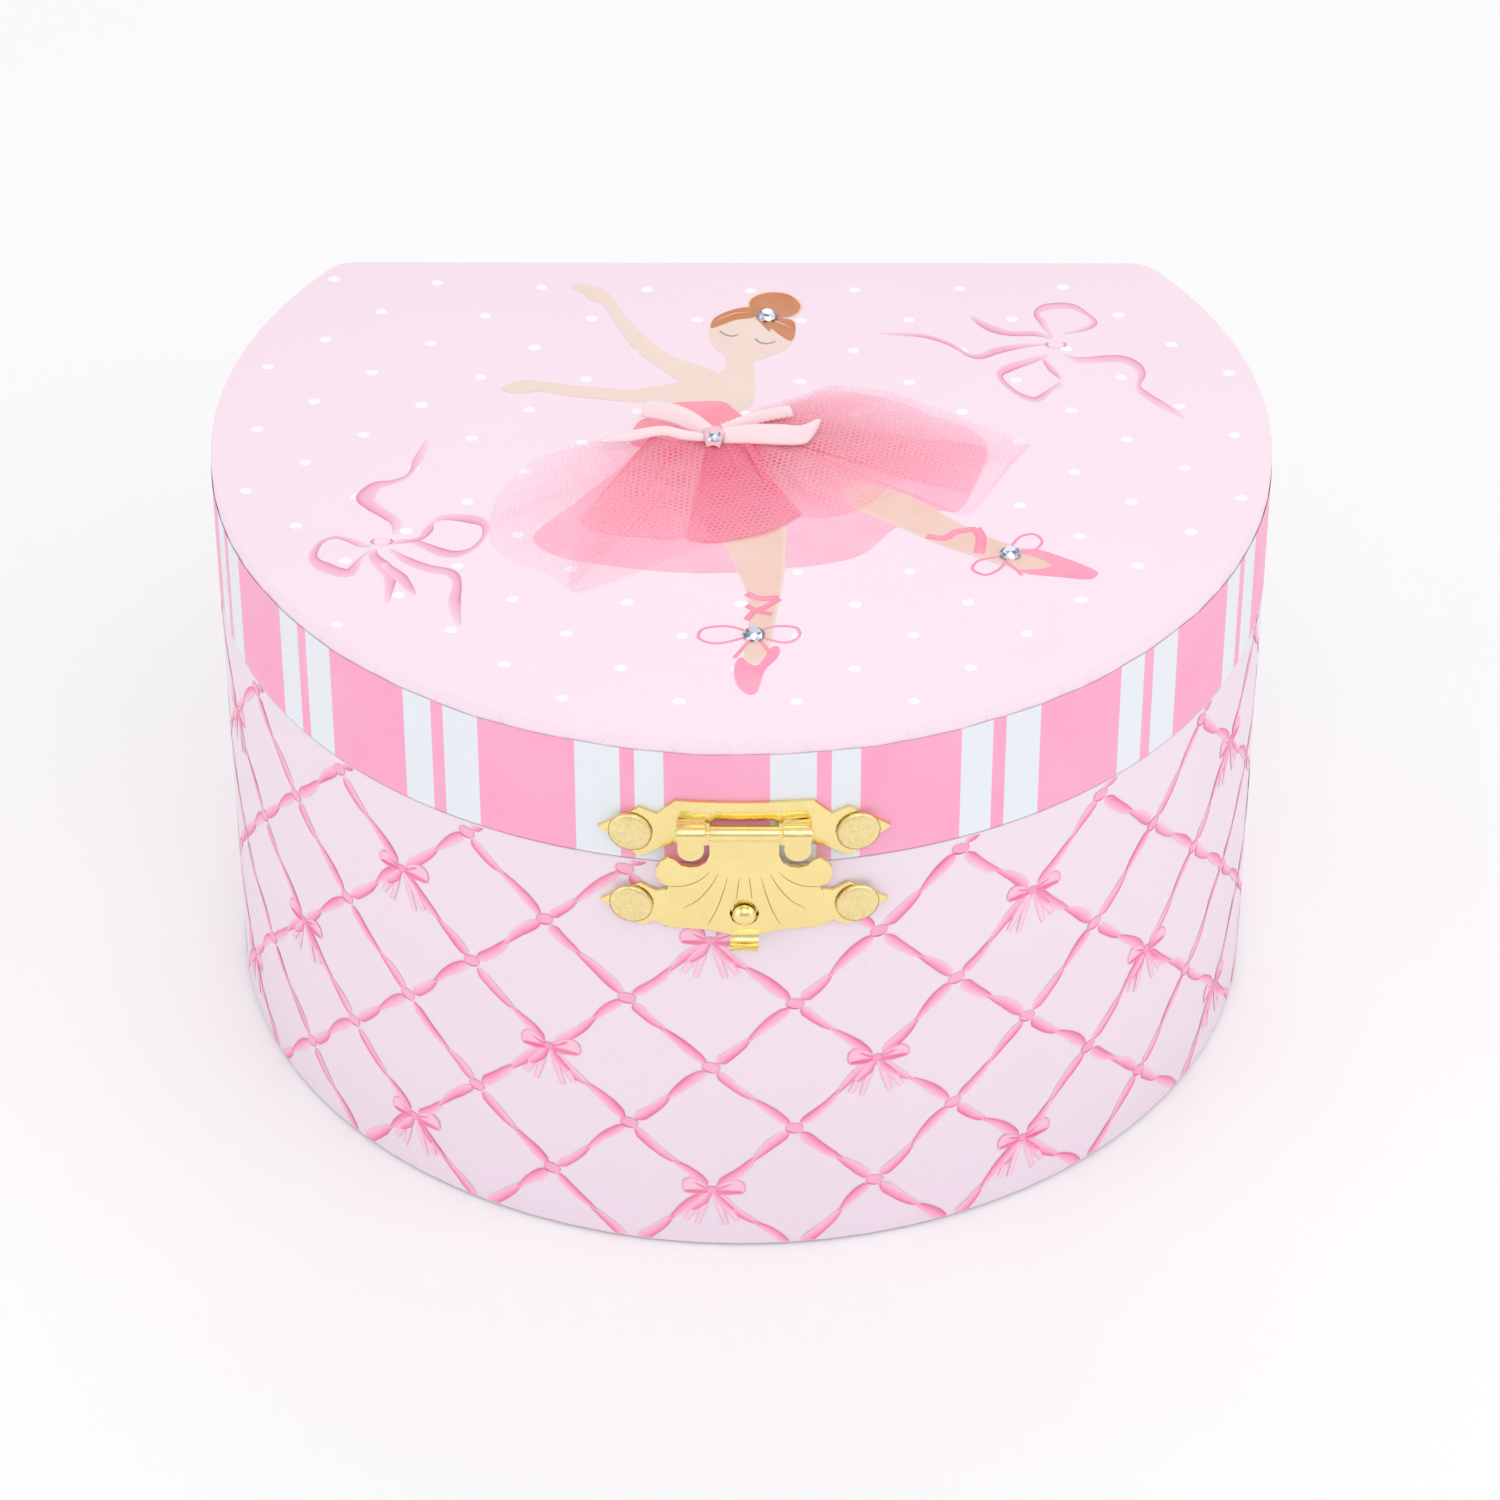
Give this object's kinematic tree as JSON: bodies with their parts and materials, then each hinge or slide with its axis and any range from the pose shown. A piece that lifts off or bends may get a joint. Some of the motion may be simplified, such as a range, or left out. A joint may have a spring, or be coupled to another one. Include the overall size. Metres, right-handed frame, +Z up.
{
  "type": "musical jewellery box",
  "caption": "Round-fronted musical jewellery box with a hinged lid, pressed brass hasp, ring tray, side bins and a dancer that rises and turns with a wind-up comb movement.",
  "frame": {"origin": "on the surface that it stands on, under the middle of the whole object, with the winding key and the hasp counted", "axes": "+X to the right seen from the front, +Y to the flat back, +Z up"},
  "size_m": [0.1598, 0.1506, 0.098],
  "materials": {
    "wrap": "semi-matt printed paper over card, pink ribbon trellis",
    "stripe": "semi-matt printed paper, pink and white stripes",
    "lid_paper": "semi-matt printed paper with white dots and a printed dancer",
    "lining_paper": "soft matt lining paper",
    "board": "bare grey card",
    "velvet": "short-pile velvet over foam",
    "cloth": "woven book cloth",
    "satin": "satin ribbon",
    "tulle": "open net",
    "brass": "polished, brass plated",
    "steel": "bright drawn",
    "zinc": "cast zinc, matt",
    "mirror": "silvered",
    "gem": "faceted, foil backed",
    "figure_plastic": "painted",
    "white_plastic": "moulded"
  },
  "bodies": {
    "case": {"base_cover_sheet": "lining_paper", "base_panel": "board", "case_wall": "wrap", "case_lining": "lining_paper", "divider_left": "lining_paper", "divider_right": "lining_paper", "bin_pad_left": "velvet", "bin_pad_right": "velvet", "stage_front_board": "lining_paper", "stage_deck": "lining_paper", "deck_bush": "white_plastic", "ring_tray_floor": "lining_paper", "ring_roll_1": "velvet", "ring_roll_2": "velvet", "ring_roll_3": "velvet", "ring_roll_4": "velvet", "movement_bedplate": "zinc", "spring_barrel": "brass", "mainspring": "steel", "comb": "steel", "comb_screw_1": "brass", "comb_screw_2": "brass", "key_eyelet": "brass", "movement_screw_1": "brass", "movement_screw_2": "brass", "latch_lower_plate": "brass", "latch_catch": "brass", "latch_rivet_lower_left": "brass", "latch_rivet_lower_right": "brass", "hinge_strip": "cloth", "stay_ribbon": "satin"},
    "lid": {"lid_top_board": "lid_paper", "lid_rim": "stripe", "lid_lining": "lining_paper", "mirror": "mirror", "mirror_frame": "brass", "lid_stop_peg": "board", "tulle_skirt": "tulle", "waist_bow": "satin", "gem_hair": "gem", "gem_waist": "gem", "gem_left_shoe": "gem", "gem_right_shoe": "gem", "latch_upper_plate": "brass", "latch_hinge_pin": "brass", "latch_rivet_upper_left": "brass", "latch_rivet_upper_right": "brass"},
    "hasp": {"latch_hasp": "brass"},
    "winding": {"winding_key": "brass", "winding_arbor": "steel", "drive_wheel": "brass"},
    "cylinder": {"cylinder_arbor": "brass", "pin_cylinder": "brass"},
    "governor": {"governor_arbor": "brass"},
    "fly": {"governor_fly": "white_plastic"},
    "stop": {"stop_plunger": "steel"},
    "dancer_mount": {"dancer_spring": "steel"},
    "dancer": {"spring_cup": "white_plastic", "dancer_figure": "figure_plastic", "dancer_tutu": "tulle"}
  },
  "joints": [
    {"name": "lid_hinge", "type": "hinge", "parent": "case", "child": "lid", "pos_m": [0, 0.05653, 0.072], "axis": [-1, 0, 0], "range_deg": [0, 95], "deforming": ["hinge_strip", "stay_ribbon"]},
    {"name": "hasp_hinge", "type": "hinge", "parent": "lid", "child": "hasp", "pos_m": [0.0007, -0.07362, 0.0793], "axis": [-1, 0, 0], "range_deg": [0, 150]},
    {"name": "key_wind", "type": "hinge", "parent": "case", "child": "winding", "pos_m": [0, 0.05653, 0.014], "axis": [0, 1, 0], "continuous": true},
    {"name": "cylinder_spin", "type": "hinge", "parent": "case", "child": "cylinder", "pos_m": [0, 0.03713, 0.03], "axis": [0, 0, 1], "continuous": true},
    {"name": "governor_spin", "type": "hinge", "parent": "case", "child": "governor", "pos_m": [0.00925, 0.02937, 0.03], "axis": [0, 0, 1], "continuous": true},
    {"name": "fly_spin", "type": "hinge", "parent": "case", "child": "fly", "pos_m": [0.01573, 0.02937, 0.03], "axis": [0, 0, 1], "continuous": true},
    {"name": "stop_slide", "type": "slide", "parent": "case", "child": "stop", "axis": [0, 0, 1], "range_m": [0, 0.003]},
    {"name": "dancer_rise", "type": "hinge", "parent": "case", "child": "dancer_mount", "pos_m": [0, 0.03713, 0.053], "axis": [-1, 0, 0], "range_deg": [0, 62], "deforming": ["dancer_spring"]},
    {"name": "dancer_spin", "type": "hinge", "parent": "dancer_mount", "child": "dancer", "pos_m": [0, 0.03713, 0.053], "axis": [0, -0.8829, 0.4695], "continuous": true}
  ],
  "couplings": [
    {"joint": "cylinder_spin", "follows": "key_wind", "ratio": -3},
    {"joint": "governor_spin", "follows": "key_wind", "ratio": 12},
    {"joint": "fly_spin", "follows": "key_wind", "ratio": -36},
    {"joint": "dancer_spin", "follows": "key_wind", "ratio": -3},
    {"joint": "dancer_rise", "follows": "lid_hinge", "ratio": 0.6526},
    {"joint": "stop_slide", "follows": "lid_hinge", "m_per_rad": 0.001809}
  ]
}
